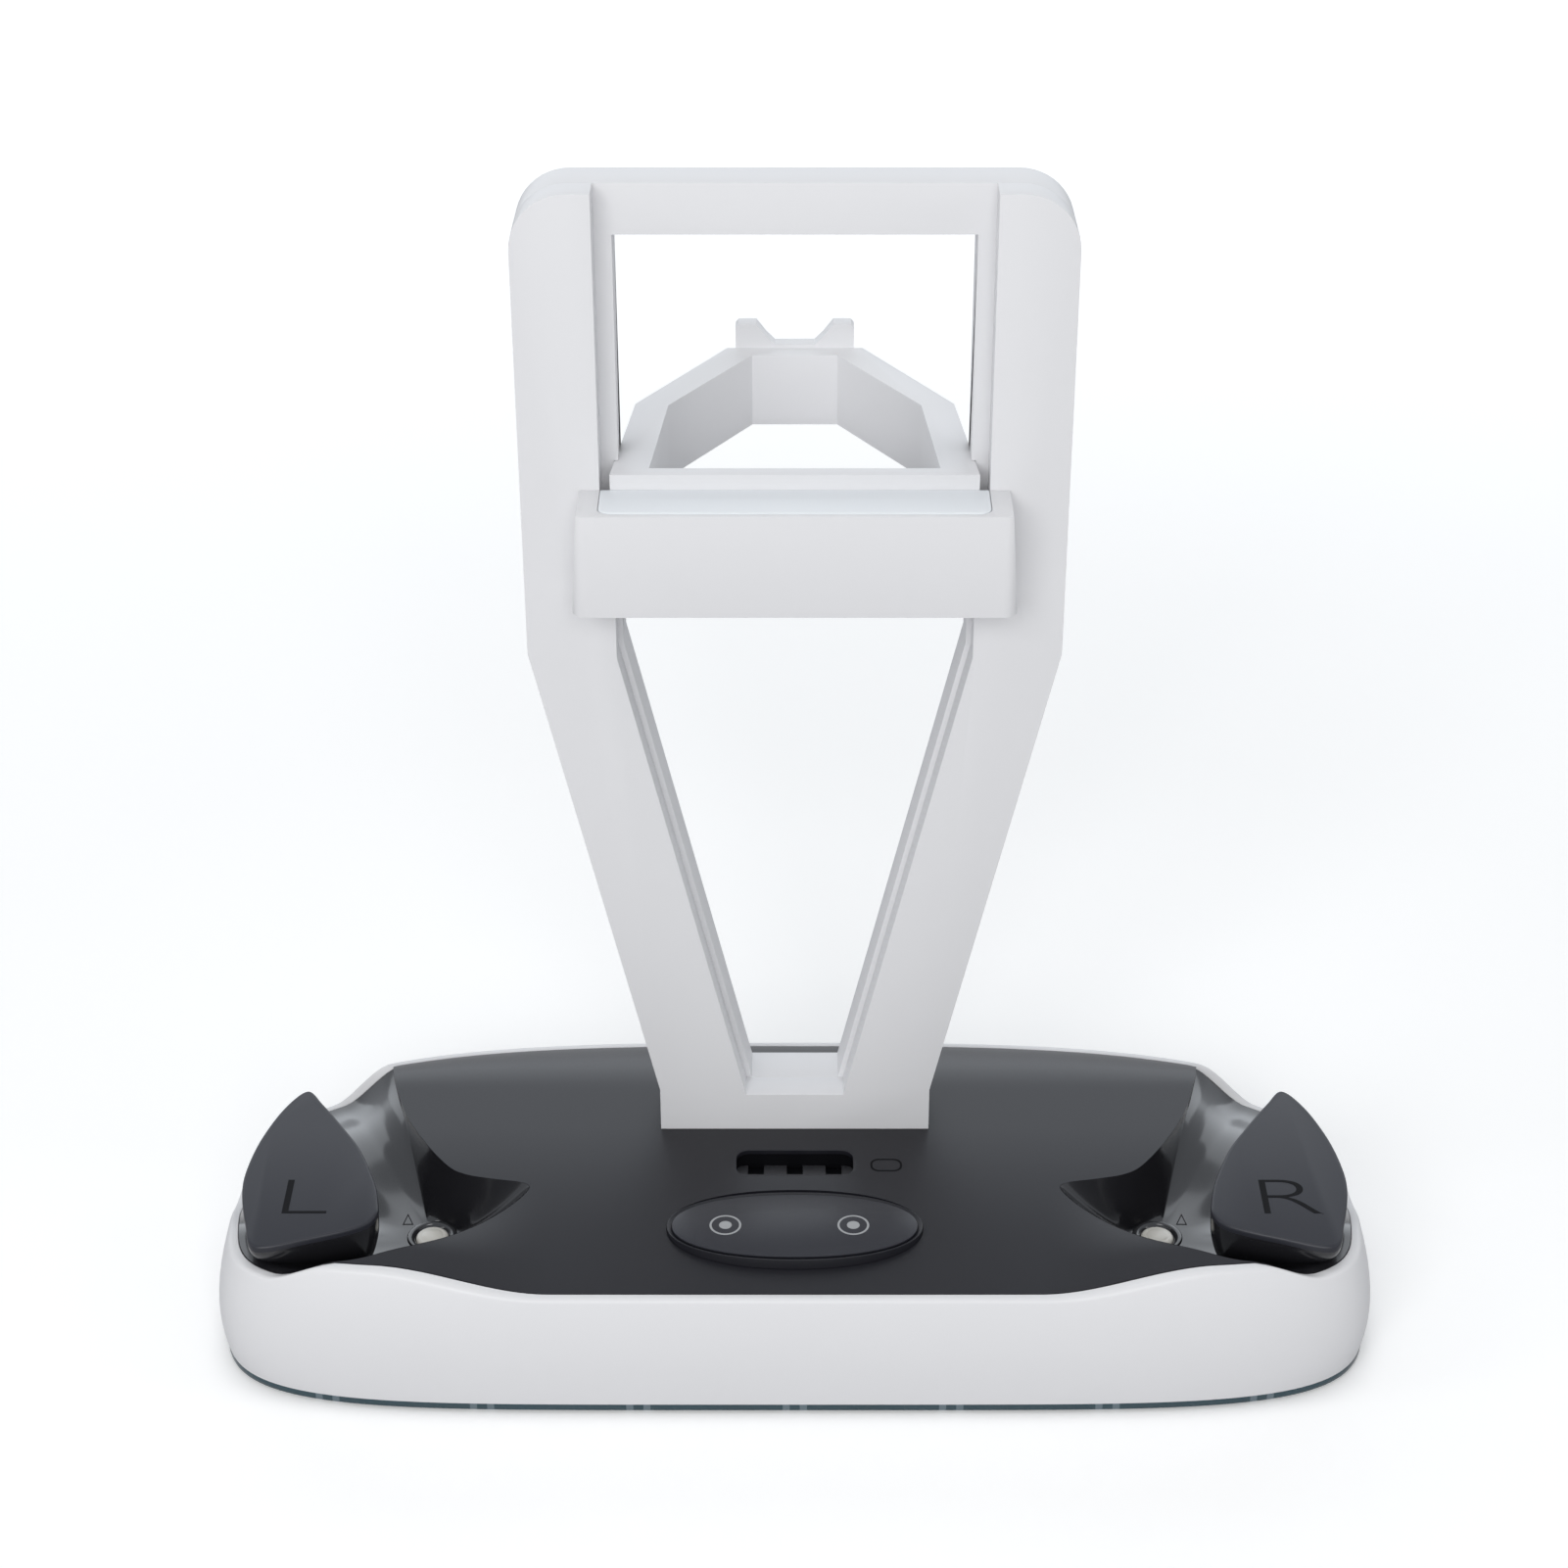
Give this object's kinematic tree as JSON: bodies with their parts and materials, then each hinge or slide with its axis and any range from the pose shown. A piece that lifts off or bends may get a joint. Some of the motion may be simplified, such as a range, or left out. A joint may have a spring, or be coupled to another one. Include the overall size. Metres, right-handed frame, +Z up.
{
  "type": "headset and controller charging dock",
  "caption": "Wide white and black charging base with a scooped dock on each side for a hand controller, and an upright frame whose open ring arm holds a headset.",
  "frame": {"origin": "middle of the footprint of the whole dock, on the table that the rubber feet stand on", "axes": "+X to the right as seen from the front, +Y from the front to the back, +Z up"},
  "size_m": [0.304, 0.1569, 0.3],
  "materials": {
    "white_plastic": "fine satin moulded",
    "matt_black": "fine matt moulded",
    "matt_grey": "fine matt moulded",
    "gloss_black": "high gloss",
    "clear_plate": "polished, translucent",
    "rubber": "matt",
    "soft_pad": "smooth matt",
    "contact": "satin, warm white",
    "steel": "plated",
    "board": "solder mask"
  },
  "bodies": {
    "root": {"rubber_feet": "rubber", "light_plate": "clear_plate", "bottom_cover": "white_plastic", "base_shell": "white_plastic", "deck": "matt_black", "dock_left": "gloss_black", "dock_right": "gloss_black", "wing_wall_left": "gloss_black", "wing_wall_right": "gloss_black", "wing_pad_left": "matt_grey", "wing_pad_right": "matt_grey", "collar_left": "gloss_black", "collar_right": "gloss_black", "pin_left": "contact", "pin_right": "contact", "magnet_left": "steel", "magnet_right": "steel", "pin_board_left": "board", "pin_board_right": "board", "socket_block": "matt_black", "socket_board": "board", "touch_bezel": "matt_black", "touch_panel": "matt_grey", "touch_board": "board", "main_board": "board", "power_socket": "steel", "ballast_left": "steel", "ballast_right": "steel", "light_strip": "board", "base_screws": "steel", "foot_screws": "steel", "upright_front": "white_plastic", "upright_rear": "white_plastic", "arm_body": "white_plastic", "arm_pad": "soft_pad"}
  },
  "joints": []
}
